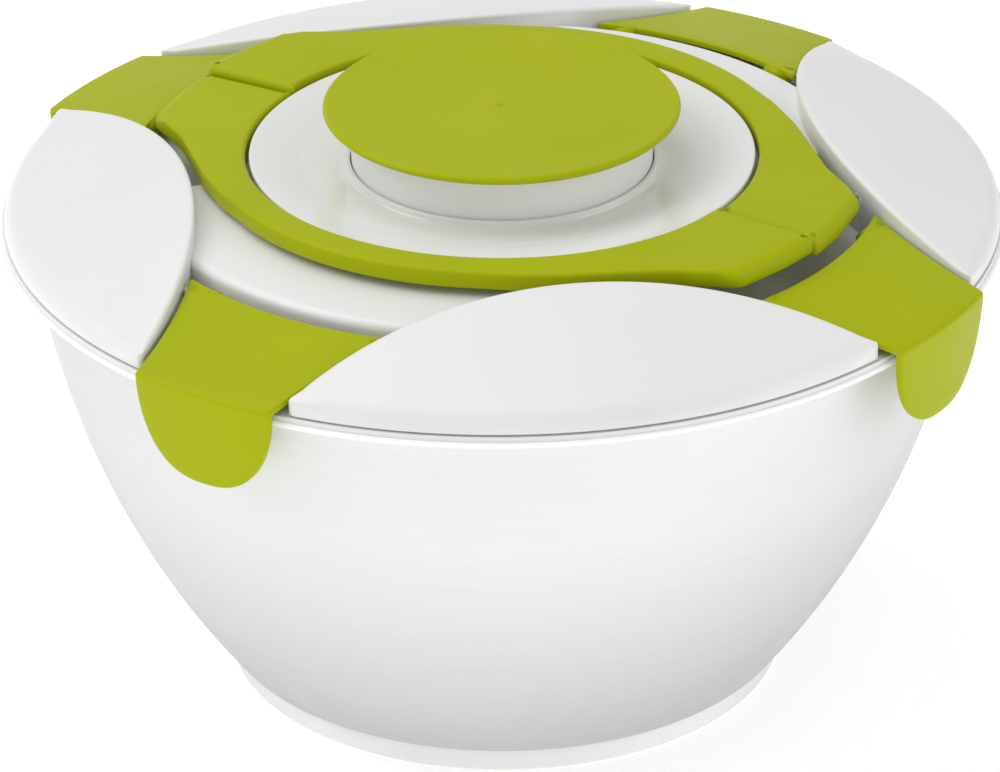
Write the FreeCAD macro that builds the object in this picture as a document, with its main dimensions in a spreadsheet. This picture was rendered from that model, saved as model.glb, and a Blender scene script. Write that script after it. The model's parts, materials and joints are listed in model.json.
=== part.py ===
"""Salad spinner with a clip-on lid, a press knob and a fold-up two-part carry handle.

Millimetres. The origin is the centre of the foot, +Z points up, and +X runs along the
hinge line of the carry handle. Latches sit on the four axes and petals between them.
"""
import FreeCAD, Part
import math
import os
import Sketcher
from FreeCAD import Placement, Rotation, Vector

# Driving dimensions. Heights are named *_z and are measured from the table.
SIZES = {
    "lid_radius": 135.0,
    "flange_radius": 136.2,
    "flange_under_z": 129.5,
    "rim_z": 131.0,
    "bowl_wall_top": 128.1,
    "bowl_wall_foot": 79.4,
    "bowl_wall_foot_z": 7.6,
    "bowl_arc": 244.0,
    "wall": 2.2,
    "floor_under_z": 6.3,
    "floor_z": 8.5,
    "foot_edge": 76.4,
    "foot_radius": 76.9,
    "foot_inner": 68.5,
    "stub_outer": 73.4,
    "stub_inner": 71.0,
    "stub_z": 2.2,
    "foot_top_z": 6.1,
    "pivot_z": 18.0,
    "pivot_radius": 4.5,
    "basket_z": 13.0,
    "basket_top_z": 119.0,
    "basket_radius": 118.0,
    "basket_foot": 66.0,
    "basket_flange": 121.0,
    "basket_arc": 230.0,
    "basket_wall": 2.0,
    "slot_width": 2.8,
    "slot_count": 40,
    "rib_width": 6.0,
    "rib_depth": 5.0,
    "gate_half": 3.7,
    "gate_reach": 120.0,
    "base_under_z": 130.2,
    "base_top_z": 132.4,
    "base_radius": 135.4,
    "plug_outer": 123.0,
    "plug_z": 121.6,
    "skin": 2.0,
    "seal_outer": 124.5,
    "seal_z": 123.2,
    "seal_height": 4.6,
    "well_radius": 45.0,
    "dome_z": 160.0,
    "dome_radius": 409.1,
    "petal_edge_z": 133.8,
    "petal_edge_fillet": 4.0,
    "petal_arc": 134.7,
    "petal_centre": 220.3,
    "deck_edge": 98.4,
    "deck_edge_z": 143.5,
    "deck_shoulder": 79.0,
    "deck_z": 143.9,
    "deck_inner": 64.0,
    "recess_z": 137.5,
    "dish_radius": 68.5,
    "dish_z": 149.6,
    "dish_floor_z": 146.0,
    "dish_lip_z": 148.0,
    "dish_skin": 1.8,
    "collar_guide": 41.1,
    "collar_guide_outer": 42.4,
    "collar_radius": 40.8,
    "collar_inner": 38.6,
    "collar_z": 141.0,
    "collar_top_z": 160.0,
    "knob_radius": 48.5,
    "knob_z": 163.6,
    "knob_dip_z": 162.5,
    "spindle_core": 4.0,
    "spindle_ridge": 5.6,
    "spindle_lead": 24.0,
    "spindle_z": 107.0,
    "spindle_top_z": 155.4,
    "bearing": 12.7,
    "bearing_bore": 12.76,
    "housing_top_z": 124.0,
    "housing_under_z": 122.0,
    "skirt_inner": 30.0,
    "skirt_outer": 32.0,
    "skirt_z": 113.0,
    "clutch_teeth": 12,
    "clutch_ring": 22.0,
    "finger_tip": 21.6,
    "nut_hub": 15.0,
    "disc_rim": 113.0,
    "cone_z": 92.0,
    "hinge_y": 5.4,
    "hinge_z": 145.0,
    "barrel": 5.1,
    "pin": 1.5,
    "pin_bore": 1.55,
    "ring_inner": 69.5,
    "ring_outer": 78.7,
    "ring_depth": 5.2,
    "ring_arch": 2600.0,
    "ring_low_z": 148.0,
    "ring_high_z": 150.0,
    "band_half": 104.0,
    "lug_inner": 60.0,
    "lug_outer": 68.0,
    "lug_half": 8.5,
    "heel": 92.5,
    "lobe_radius": 99.4,
    "latch_hinge": 101.0,
    "latch_hinge_z": 139.6,
    "latch_inner": 103.0,
    "latch_inner_z": 142.4,
    "latch_fold": 140.0,
    "latch_fold_z": 135.2,
    "latch_skin": 1.8,
    "latch_gap": 1.2,
    "knuckle": 2.7,
    "knuckle_start": 22.0,
    "knuckle_length": 8.0,
    "stub_start": 23.5,
    "stub_length": 12.5,
    "latch_corner": 32.4,
    "latch_tip": 146.0,
    "fold_half": 22.0,
    "tongue_half": 16.5,
    "tongue_round_z": 118.0,
    "tongue_round": 17.4,
    "tongue_z": 108.0,
    "tongue_foot": 138.4,
    "screw_circle": 53.0,
    "screw_radius": 1.5,
    "screw_head": 3.2,
    "spring_coil": 10.0,
    "spring_wire": 0.6,
}

QUARTERS = {"right": 0, "rear": 90, "left": 180, "front": 270}

doc = FreeCAD.newDocument("salad_spinner")
sheet = doc.addObject("Spreadsheet::Sheet", "Sheet")
nodes = []


def fill_sheet():
    """Write each driving dimension as plain text in its own cell, with its alias."""
    for row, (alias, size) in enumerate(SIZES.items(), start=1):
        sheet.set("A%d" % row, alias)
        sheet.set("B%d" % row, str(size))
        sheet.setAlias("B%d" % row, alias)
    doc.recompute()


def value(text):
    """Number for a sum such as 'rim_z - wall', read from the driving dimensions."""
    total = 0.0
    sign = 1.0
    for word in str(text).split():
        if word in ("+", "-"):
            sign = 1.0 if word == "+" else -1.0
        else:
            total += sign * float(SIZES.get(word, word))
    return total


def bound(text):
    """The same sum as an expression on the sheet's aliases."""
    return " ".join("Sheet." + word if word in SIZES else word for word in str(text).split())


def bind(feature, **properties):
    """Bind each named property of a feature to a sum of sheet cells."""
    for name, text in properties.items():
        feature.setExpression(name, bound(text))


def plane(body, role):
    return next(item for item in body.Origin.OriginFeatures if item.Role == role)


def new_body(label):
    body = doc.addObject("PartDesign::Body", label)
    body.Label = label
    return body


def keep(label, shape_owner):
    """Name the finished object after its node and list it for export."""
    shape_owner.Label = label
    nodes.append(shape_owner)


def arc_edge(start, finish, side, radius):
    """Minor arc from start to finish; its centre is left (1) or right (-1) of the way."""
    chord = finish - start
    half = chord.Length / 2.0
    across = Vector(-chord.y, chord.x, 0).normalize() * side
    centre = (start + finish) / 2.0 + across * math.sqrt(max(radius ** 2 - half ** 2, 0.0))
    circle = Part.Circle(centre, Vector(0, 0, 1), radius)
    ends = (start, finish) if side > 0 else (finish, start)
    angles = [math.atan2(p.y - centre.y, p.x - centre.x) for p in ends]
    return Part.ArcOfCircle(circle, angles[0], angles[1])


def outline(sketch, corners):
    """Closed outline. A corner is (x, y), or (x, y, side, radius) if an arc leaves it."""
    points = [Vector(value(c[0]), value(c[1]), 0) for c in corners]
    ends = []
    for index, corner in enumerate(corners):
        start = points[index]
        finish = points[(index + 1) % len(points)]
        if len(corner) == 4:
            edge = sketch.addGeometry(arc_edge(start, finish, corner[2], value(corner[3])))
            ends.append((edge, 1, 2) if corner[2] > 0 else (edge, 2, 1))
            number = sketch.addConstraint(Sketcher.Constraint("Radius", edge, value(corner[3])))
            sketch.setExpression("Constraints[%d]" % number, bound(corner[3]))
        else:
            ends.append((sketch.addGeometry(Part.LineSegment(start, finish)), 1, 2))
    for index, corner in enumerate(corners):
        edge, first, _ = ends[index]
        before, _, last = ends[index - 1]
        sketch.addConstraint(Sketcher.Constraint("Coincident", before, last, edge, first))
        for kind, text in (("DistanceX", corner[0]), ("DistanceY", corner[1])):
            rule = Sketcher.Constraint(kind, -1, 1, edge, first, value(text))
            number = sketch.addConstraint(rule)
            if any(word in SIZES for word in str(text).split()):
                sketch.setExpression("Constraints[%d]" % number, bound(text))


def sketch_on(body, role, name, *outlines):
    sketch = body.newObject("Sketcher::SketchObject", name)
    sketch.AttachmentSupport = (plane(body, role), [""])
    sketch.MapMode = "FlatFace"
    for corners in outlines:
        outline(sketch, corners)
    doc.recompute()
    return sketch


def revolve(body, name, *outlines):
    """Full turn of outlines drawn as (radius, height)."""
    sketch = sketch_on(body, "XZ_Plane", name + "_profile", *outlines)
    turn = body.newObject("PartDesign::Revolution", name)
    turn.Profile = sketch
    turn.ReferenceAxis = (sketch, ["V_Axis"])
    turn.Angle = 360
    return turn


def cut_through(body, role, name, *outlines):
    """Pocket that runs both ways through everything."""
    sketch = sketch_on(body, role, name + "_outline", *outlines)
    pocket = body.newObject("PartDesign::Pocket", name)
    pocket.Profile = sketch
    pocket.Type = 1
    pocket.Midplane = True
    doc.recompute()
    return pocket, sketch


def around(body, feature, sketch, count, name, axis="V_Axis"):
    """Repeat a feature in a full circle about +Z."""
    pattern = body.newObject("PartDesign::PolarPattern", name)
    pattern.Originals = [feature]
    pattern.Axis = (sketch, [axis])
    pattern.Angle = 360
    pattern.Occurrences = int(value(count))
    if count in SIZES:
        bind(pattern, Occurrences=count)
    body.Tip = pattern
    doc.recompute()
    return pattern


def solid_box(body, kind, name, low, high):
    """Box between two corners, added to or taken from a body."""
    box = body.newObject("PartDesign::%sBox" % kind, name)
    sizes = [value(b) - value(a) for a, b in zip(low, high)]
    box.Length, box.Width, box.Height = sizes
    box.Placement = Placement(Vector(*[value(a) for a in low]), Rotation())
    doc.recompute()
    return box


def solid_rod(body, kind, name, start, direction, radius, length):
    """Cylinder from a start point along a direction, added to or taken from a body."""
    rod = body.newObject("PartDesign::%sCylinder" % kind, name)
    bind(rod, Radius=radius, Height=length)
    turn = Rotation(Vector(0, 0, 1), Vector(*direction))
    rod.Placement = Placement(Vector(*[value(a) for a in start]), turn)
    doc.recompute()
    return rod


def turned(angle):
    return Placement(Vector(0, 0, 0), Rotation(Vector(0, 0, 1), angle))


# ---------------------------------------------------------------- bowl and basket


def make_bowl():
    body = new_body("bowl")
    revolve(body, "shell", [
        ("0", "floor_under_z"),
        ("stub_inner", "floor_under_z"),
        ("stub_inner", "stub_z"),
        ("stub_outer", "stub_z"),
        ("stub_outer", "floor_under_z"),
        ("foot_edge", "floor_under_z"),
        ("bowl_wall_foot", "bowl_wall_foot_z", 1, "bowl_arc"),
        ("bowl_wall_top", "flange_under_z"),
        ("flange_radius", "flange_under_z"),
        ("flange_radius", "rim_z"),
        ("bowl_wall_top - wall", "rim_z", -1, "bowl_arc - wall"),
        ("bowl_wall_foot - wall", "floor_z"),
        ("pivot_radius", "floor_z"),
        ("pivot_radius - 2", "pivot_z - 1.5"),
        ("0", "pivot_z"),
    ])
    keep("bowl", body)


def make_foot_ring():
    body = new_body("foot_ring")
    revolve(body, "ring", [
        ("foot_inner", "0"),
        ("foot_radius", "0"),
        ("foot_radius - 1.4", "foot_top_z"),
        ("stub_outer", "foot_top_z"),
        ("stub_outer", "stub_z"),
        ("stub_inner", "stub_z"),
        ("stub_inner", "foot_top_z"),
        ("foot_inner", "foot_top_z"),
    ])
    keep("foot_ring", body)


def make_basket():
    """Slotted basket whose hollow cone stands on the bowl's pivot."""
    body = new_body("basket")
    revolve(body, "shell", [
        ("pivot_radius + 0.9", "basket_z"),
        ("basket_foot", "basket_z", 1, "basket_arc"),
        ("basket_radius", "basket_top_z - 1.8"),
        ("basket_flange", "basket_top_z - 1.8"),
        ("basket_flange", "basket_top_z"),
        ("basket_radius - basket_wall", "basket_top_z", -1, "basket_arc - basket_wall"),
        ("basket_foot - basket_wall", "basket_z + basket_wall"),
        ("pivot_radius + 3.1", "basket_z + basket_wall"),
        ("pivot_radius + 1.0", "pivot_z + 1.5"),
        ("0", "pivot_z + 3.0"),
        ("0", "pivot_z + 0.6"),
        ("pivot_radius - 1.3", "pivot_z - 0.9"),
    ])
    rows = []
    for low, high in ((24, 46), (52, 76), (82, 107)):
        rows.append([
            ("0 - slot_width", str(low)),
            ("0", str(low)),
            ("0", str(high)),
            ("0 - slot_width", str(high)),
        ])
    sketch = sketch_on(body, "XZ_Plane", "slot_outlines", *rows)
    slots = body.newObject("PartDesign::Pocket", "slots")
    slots.Profile = sketch
    slots.Type = 1
    doc.recompute()
    around(body, slots, sketch, "slot_count", "slots_around")
    first = body.newObject("PartDesign::AdditiveBox", "rib")
    bind(first, Length="rib_depth + 1", Width="rib_width", Height="12")
    first.Placement = Placement(
        Vector(value("basket_radius - rib_depth - 1"), -value("rib_width") / 2, 106.8),
        Rotation())
    doc.recompute()
    around(body, first, sketch, "4", "ribs_around")
    keep("basket", body)


# ------------------------------------------------------------------------- lid


def make_lid_base():
    """Lower plate of the lid: rim flange, plug wall and the handle's hinge lugs."""
    body = new_body("lid_base")
    revolve(body, "plate", [
        ("well_radius", "base_under_z"),
        ("plug_outer - skin", "base_under_z"),
        ("plug_outer - skin", "plug_z"),
        ("plug_outer", "plug_z"),
        ("plug_outer", "base_under_z"),
        ("bowl_wall_top - wall", "rim_z"),
        ("base_radius", "rim_z"),
        ("base_radius", "base_top_z"),
        ("well_radius", "base_top_z"),
    ])
    doc.recompute()
    for side in (-1, 1):
        low, high = sorted((side * value("lug_inner"), side * value("lug_outer")))
        solid_box(body, "Additive", "lug",
                  (low, "0 - lug_half", "base_top_z - 1"), (high, "lug_half", "hinge_z + 2.3"))
        for edge in (-1, 1):
            y = edge * value("hinge_y")
            solid_rod(body, "Subtractive", "lug_bore",
                      (side * value("lug_inner - 2"), y, "hinge_z"), (side, 0, 0), "pin", "12")
    for x, y in screw_points():
        solid_rod(body, "Subtractive", "screw_bore",
                  (x, y, "base_under_z - 1"), (0, 0, 1), "screw_radius", "2.7")
    keep("lid_base", body)


def revolved_solid(name, corners):
    """Part revolution of a (radius, height) outline about +Z."""
    sketch = doc.addObject("Sketcher::SketchObject", name + "_profile")
    sketch.Placement = Placement(Vector(), Rotation(Vector(1, 0, 0), 90))
    outline(sketch, corners)
    turn = doc.addObject("Part::Revolution", name)
    turn.Source = sketch
    turn.Axis = (0, 0, 1)
    turn.Base = (0, 0, 0)
    turn.Angle = 360
    turn.Solid = True
    return turn


def dome(name, inset, floor):
    """Round-edged dome that carries the petals, drawn smaller all over by inset."""
    edge = "lid_radius - %s" % inset
    shoulder = "lid_radius - petal_edge_fillet"
    shoulder_z = "petal_edge_z + petal_edge_fillet - %s" % inset
    return revolved_solid(name, [
        ("0", floor),
        (edge, floor),
        (edge, "petal_edge_z", 1, "petal_edge_fillet - %s" % inset),
        (shoulder, shoulder_z, 1, "dome_radius - %s" % inset),
        ("0", "dome_z - %s" % inset),
    ])


def lens(name, angle, inset):
    """Cylinder whose near side is a petal's inner edge."""
    rod = doc.addObject("Part::Cylinder", name)
    bind(rod, Radius="petal_arc - %s" % inset, Height="60")
    at = Vector(value("petal_centre"), 0, 115)
    rod.Placement = turned(angle).multiply(Placement(at, Rotation()))
    return rod


def recess_tool(name, angle):
    """Deck opening round one lobe of the handle, with finger room beside its neck."""
    sketch = doc.addObject("Sketcher::SketchObject", name + "_outline")
    side = [(58, 9), (66, 9), (66, 24), (58, 44), (64, 57), (78, 46), (90, 37.5), (99, 31)]
    mirrored = [(x, -y) for x, y in side]
    outline(sketch, [(str(x), str(y)) for x, y in mirrored + side[::-1]])
    tool = doc.addObject("Part::Extrusion", name)
    tool.Base = sketch
    tool.DirMode = "Custom"
    tool.Dir = (0, 0, 1)
    tool.LengthFwd = 20
    tool.Solid = True
    tool.Placement = turned(angle).multiply(Placement(Vector(0, 0, value("recess_z")), Rotation()))
    return tool


def make_lid_cover():
    """Deck ring and four hollow petals in one moulding."""
    deck = revolved_solid("deck", [
        ("deck_inner", "deck_z - skin"),
        ("deck_shoulder", "deck_z - skin"),
        ("deck_edge - skin", "deck_edge_z - skin"),
        ("deck_edge - skin", "base_top_z"),
        ("deck_edge", "base_top_z"),
        ("deck_edge", "deck_edge_z"),
        ("deck_shoulder", "deck_z"),
        ("deck_inner", "deck_z"),
    ])
    outer_dome = dome("dome_outer", "0", "base_top_z")
    inner_dome = dome("dome_inner", "skin", "base_top_z - 2")
    added = [deck]
    taken = [recess_tool("recess_right", 0), recess_tool("recess_left", 180)]
    for name, quarter in QUARTERS.items():
        angle = quarter + 45
        for inset, source, group in (("0", outer_dome, added), ("skin", inner_dome, taken)):
            common = doc.addObject("Part::Common", "petal_%s_%s" % (name, inset))
            common.Base = source
            common.Tool = lens("lens_%s_%s" % (name, inset), angle, inset)
            group.append(common)
        for edge in (-1, 1):
            taken.append(latch_stub("stub_hole_%s_%d" % (name, edge), quarter, edge))
    whole = doc.addObject("Part::MultiFuse", "cover_whole")
    whole.Shapes = added
    hollow = doc.addObject("Part::MultiFuse", "cover_hollow")
    hollow.Shapes = taken
    cover = doc.addObject("Part::Cut", "lid_cover")
    cover.Base = whole
    cover.Tool = hollow
    keep("lid_cover", cover)


def latch_stub(name, quarter, edge):
    """Hinge pin stub at one inner corner of a latch."""
    stub = doc.addObject("Part::Cylinder", name)
    bind(stub, Radius="pin", Height="stub_length")
    start = Vector(value("latch_hinge"), edge * value("stub_start"), value("latch_hinge_z"))
    aim = Rotation(Vector(0, 0, 1), Vector(0, edge, 0))
    stub.Placement = turned(quarter).multiply(Placement(start, aim))
    return stub


def make_latch_pins():
    stubs = []
    for name, quarter in QUARTERS.items():
        for edge in (-1, 1):
            stubs.append(latch_stub("stub_%s_%d" % (name, edge), quarter, edge))
    group = doc.addObject("Part::Compound", "latch_pins")
    group.Links = stubs
    keep("latch_pins", group)


def make_dish_plate():
    """Glossy shallow dish with the tube that guides the knob's collar."""
    body = new_body("dish_plate")
    revolve(body, "dish", [
        ("collar_guide", "collar_z - 4"),
        ("collar_guide_outer", "collar_z - 4"),
        ("collar_guide_outer", "dish_floor_z - dish_skin"),
        ("dish_radius - 14", "dish_floor_z - dish_skin + 1.2"),
        ("dish_radius - 1.5", "dish_z - dish_skin"),
        ("dish_radius - 1.5", "deck_z"),
        ("dish_radius", "deck_z"),
        ("dish_radius", "dish_z - 0.4"),
        ("dish_radius - 0.4", "dish_z"),
        ("dish_radius - 14", "dish_floor_z + 1.2"),
        ("collar_guide_outer + 1", "dish_floor_z"),
        ("collar_guide_outer", "dish_floor_z + 0.5"),
        ("collar_guide_outer", "dish_lip_z"),
        ("collar_guide", "dish_lip_z"),
    ])
    doc.recompute()
    for side in (-1, 1):
        low, high = sorted((side * value("lug_inner - 3"), side * value("lug_outer + 12")))
        solid_box(body, "Subtractive", "lug_room",
                  (low, "0 - lug_half - 1", "hinge_z - 5"), (high, "lug_half + 1", "hinge_z + 2.6"))
    keep("dish_plate", body)


def make_lid_seal():
    body = new_body("lid_seal")
    revolve(body, "lip_seal", [
        ("plug_outer", "seal_z"),
        ("seal_outer - 0.4", "seal_z"),
        ("seal_outer", "seal_z + 0.8"),
        ("plug_outer + 0.6", "seal_z + 2.2"),
        ("seal_outer", "seal_z + 3.6"),
        ("seal_outer - 0.3", "seal_z + seal_height"),
        ("plug_outer", "seal_z + seal_height"),
    ])
    keep("lid_seal", body)


def make_drive_housing():
    """Cup under the lid that carries the drive nut and the drive disc."""
    body = new_body("drive_housing")
    revolve(body, "cup", [
        ("bearing_bore", "housing_under_z"),
        ("skirt_inner", "housing_under_z"),
        ("skirt_inner", "skirt_z"),
        ("skirt_outer", "skirt_z"),
        ("skirt_outer", "housing_under_z"),
        ("well_radius", "housing_under_z"),
        ("well_radius", "base_under_z - skin"),
        ("screw_circle + 6", "base_under_z - skin"),
        ("screw_circle + 6", "base_under_z"),
        ("well_radius - skin", "base_under_z"),
        ("well_radius - skin", "housing_top_z"),
        ("bearing_bore", "housing_top_z"),
    ])
    doc.recompute()
    for x, y in screw_points():
        solid_rod(body, "Subtractive", "screw_hole", (x, y, 120), (0, 0, 1), "screw_radius", "15")
    keep("drive_housing", body)


def screw_points():
    """Four screw places between the handle's hinge lugs."""
    radius = value("screw_circle")
    angles = [math.radians(45 + quarter) for quarter in QUARTERS.values()]
    return [(radius * math.cos(a), radius * math.sin(a)) for a in angles]


def make_housing_screws():
    """Four pan-head screws; each bites into the lid base."""
    screws = []
    for x, y in screw_points():
        head_z = value("base_under_z - skin")
        head = doc.addObject("Part::Cylinder", "screw_head")
        bind(head, Radius="screw_head", Height="1.8")
        head.Placement = Placement(Vector(x, y, head_z - 1.8), Rotation())
        shank = doc.addObject("Part::Cylinder", "screw_shank")
        bind(shank, Radius="screw_radius", Height="3.5")
        shank.Placement = Placement(Vector(x, y, head_z), Rotation())
        screw = doc.addObject("Part::Fuse", "screw")
        screw.Base = head
        screw.Tool = shank
        screws.append(screw)
    group = doc.addObject("Part::Compound", "housing_screws")
    group.Links = screws
    keep("housing_screws", group)


def make_retaining_ring():
    body = new_body("retaining_ring")
    revolve(body, "ring", [
        ("skirt_inner - 3", "skirt_z - 2.2"),
        ("skirt_outer", "skirt_z - 2.2"),
        ("skirt_outer", "skirt_z"),
        ("skirt_inner - 3", "skirt_z"),
    ])
    keep("retaining_ring", body)


# ------------------------------------------------------------- knob and drive


def make_knob_cap():
    """Thin mushroom cap with a slightly hollow top."""
    body = new_body("knob_cap")
    revolve(body, "cap", [
        ("0", "collar_top_z"),
        ("collar_radius", "collar_top_z"),
        ("knob_radius - 1.2", "knob_z - 2.5"),
        ("knob_radius", "knob_z - 1.3", 1, "1.3"),
        ("knob_radius - 1.2", "knob_z", -1, "1000"),
        ("0", "knob_dip_z"),
    ])
    keep("knob_cap", body)


def make_knob_collar():
    """Sliding collar: a cup that hangs from the cap and rides in the dish's tube."""
    body = new_body("knob_collar")
    revolve(body, "cup", [
        ("2.1", "spindle_top_z"),
        ("8", "spindle_top_z"),
        ("8", "collar_top_z - 2.2"),
        ("collar_inner", "collar_top_z - 2.2"),
        ("collar_inner", "collar_z"),
        ("collar_radius", "collar_z"),
        ("collar_radius", "collar_top_z"),
        ("4.2", "collar_top_z"),
        ("4.2", "collar_top_z - 2.4"),
        ("2.1", "collar_top_z - 2.4"),
    ])
    keep("knob_collar", body)


def make_knob_screw():
    body = new_body("knob_screw")
    revolve(body, "screw", [
        ("0", "spindle_top_z - 10"),
        ("2", "spindle_top_z - 10"),
        ("2", "collar_top_z - 2.4"),
        ("4", "collar_top_z - 2.4"),
        ("4", "collar_top_z - 0.4"),
        ("0", "collar_top_z - 0.4"),
    ])
    keep("knob_screw", body)


def helix(body, kind, name, inner, outer, low, high, width):
    """Two-start helical ridge or groove of the drive thread."""
    shift = value(width) / 2.0
    sketch = sketch_on(body, "XZ_Plane", name + "_section", [
        (inner, "%s - %s" % (low, shift)),
        (outer, "%s - %s" % (low, shift)),
        (outer, "%s + %s" % (low, shift)),
        (inner, "%s + %s" % (low, shift)),
    ])
    ridge = body.newObject("PartDesign::%sHelix" % kind, name)
    ridge.Profile = sketch
    ridge.ReferenceAxis = (sketch, ["V_Axis"])
    ridge.Mode = 0
    bind(ridge, Pitch="spindle_lead")
    ridge.Height = value(high) - value(low)
    doc.recompute()
    around(body, ridge, sketch, "2", name + "_second")


def make_spindle():
    """Press spindle: a rod with two steep helical ridges and a blind screw hole."""
    body = new_body("spindle")
    revolve(body, "core", [
        ("0", "spindle_z"),
        ("spindle_core", "spindle_z"),
        ("spindle_core", "spindle_top_z"),
        ("2", "spindle_top_z"),
        ("2", "spindle_top_z - 10"),
        ("0", "spindle_top_z - 10"),
    ])
    helix(body, "Additive", "ridge", "spindle_core - 0.5", "spindle_ridge",
          "spindle_z + 4", "spindle_top_z - 12", "3.4")
    keep("spindle", body)


def make_return_spring():
    """Compression spring between the housing's floor and the collar's roof."""
    body = new_body("return_spring")
    low = "housing_top_z + 2.6"
    high = "collar_top_z - 2.9"
    half = value("spring_wire")
    sketch = sketch_on(body, "XZ_Plane", "wire_section", [
        ("spring_coil", "%s - spring_wire" % low, 1, "spring_wire"),
        ("spring_coil", "%s + spring_wire" % low, 1, "spring_wire"),
    ])
    coil = body.newObject("PartDesign::AdditiveHelix", "coil")
    coil.Profile = sketch
    coil.ReferenceAxis = (sketch, ["V_Axis"])
    coil.Mode = 0
    coil.Pitch = 5.0
    coil.Height = value(high) - value(low) - half
    doc.recompute()
    keep("return_spring", body)


def make_spring_seat():
    """Washer that keeps the turning nut and the still spring apart."""
    body = new_body("spring_seat")
    revolve(body, "washer", [
        ("7.2", "housing_top_z + 1.0"),
        ("12", "housing_top_z + 1.0"),
        ("12", "housing_top_z"),
        ("15", "housing_top_z"),
        ("15", "housing_top_z + 2.0"),
        ("7.2", "housing_top_z + 2.0"),
    ])
    keep("spring_seat", body)


def make_drive_nut():
    """Nut that the spindle turns, with spring fingers that drive the clutch one way."""
    body = new_body("drive_nut")
    revolve(body, "hub", [
        ("spindle_core + 0.3", "skirt_z + 2"),
        ("nut_hub", "skirt_z + 2"),
        ("nut_hub", "housing_under_z - 0.3"),
        ("bearing", "housing_under_z - 0.3"),
        ("bearing", "housing_top_z - 0.2"),
        ("spindle_core + 0.3", "housing_top_z - 0.2"),
    ])
    sketch = sketch_on(body, "XY_Plane", "finger_outline", [
        ("nut_hub - 3", "8.4"),
        ("nut_hub - 1", "6"),
        ("finger_tip - 2", "0 - 2"),
        ("finger_tip", "0 - 1.2"),
        ("finger_tip", "1.2"),
        ("finger_tip - 1.8", "1.2"),
    ])
    fingers = body.newObject("PartDesign::Pad", "finger")
    fingers.Profile = sketch
    sketch.AttachmentOffset = Placement(Vector(0, 0, value("skirt_z + 2.5")), Rotation())
    fingers.Length = 5.0
    doc.recompute()
    around(body, fingers, sketch, "3", "fingers_around", "N_Axis")
    helix(body, "Subtractive", "groove", "spindle_core - 0.5", "spindle_ridge + 0.35",
          "spindle_z + 4", "housing_top_z + 6", "4.2")
    keep("drive_nut", body)


def make_drive_disc():
    """Disc that closes the basket; its ratchet ring turns one way with the nut."""
    body = new_body("drive_disc")
    revolve(body, "disc", [
        ("0", "cone_z"),
        ("9", "cone_z"),
        ("9", "skirt_z - 5.4"),
        ("skirt_inner", "skirt_z - 5.4"),
        ("disc_rim", "skirt_z + 2.2"),
        ("disc_rim", "skirt_z + 4.2"),
        ("skirt_inner", "skirt_z - 3.4"),
        ("skirt_inner - 3.6", "skirt_z - 3.4"),
        ("skirt_inner - 3.6", "skirt_z + 0.3"),
        ("skirt_inner - 0.4", "skirt_z + 0.3"),
        ("skirt_inner - 0.4", "skirt_z + 7.6"),
        ("clutch_ring", "skirt_z + 7.6"),
        ("clutch_ring", "skirt_z + 0.3"),
        ("7", "skirt_z + 0.3"),
        ("7", "cone_z + 2"),
        ("0", "cone_z + 2"),
    ])
    doc.recompute()
    sketch = sketch_on(body, "XY_Plane", "notch_outline", [
        ("clutch_ring - 2", "0 - 1.7"),
        ("clutch_ring + 1.8", "0 - 1.7"),
        ("clutch_ring + 1.8", "1.7"),
        ("clutch_ring - 2", "1.7"),
    ])
    sketch.AttachmentOffset = Placement(Vector(0, 0, value("skirt_z + 9")), Rotation())
    notch = body.newObject("PartDesign::Pocket", "notch")
    notch.Profile = sketch
    notch.Length = 8.0
    doc.recompute()
    around(body, notch, sketch, "clutch_teeth", "ratchet", "N_Axis")
    rim = sketch_on(body, "XY_Plane", "rim_outline", [
        ("basket_radius - rib_depth - 2.4", "0 - gate_half"),
        ("gate_reach", "0 - gate_half"),
        ("gate_reach", "gate_half"),
        ("basket_radius - rib_depth - 2.4", "gate_half"),
    ])
    gate = body.newObject("PartDesign::Pocket", "rib_gate")
    gate.Profile = rim
    gate.Type = 1
    gate.Midplane = True
    doc.recompute()
    around(body, gate, rim, "4", "gates_around", "N_Axis")
    keep("drive_disc", body)


# ------------------------------------------------------------ handle and latches


def handle_outline():
    """Half of the carry ring in plan, on the -Y side, from lobe to lobe."""
    right = [
        ("0", "0 - ring_outer", 1, "ring_outer + 1"),
        ("45", "0 - 66.6"),
        ("58", "0 - 56.6", -1, "60"),
        ("80", "0 - 42.6"),
        ("91", "0 - 36.2"),
        ("94.6", "0 - 30.4", 1, "lobe_radius"),
        ("lobe_radius", "0"),
    ]
    left = [
        ("0 - lobe_radius", "0", 1, "lobe_radius"),
        ("0 - 94.6", "0 - 30.4"),
        ("0 - 91", "0 - 36.2"),
        ("0 - 80", "0 - 42.6", -1, "60"),
        ("0 - 58", "0 - 56.6"),
        ("0 - 45", "0 - 66.6", 1, "ring_outer + 1"),
    ]
    top = [("lobe_radius", "8"), ("0 - lobe_radius", "8")]
    return left + right + top


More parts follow.
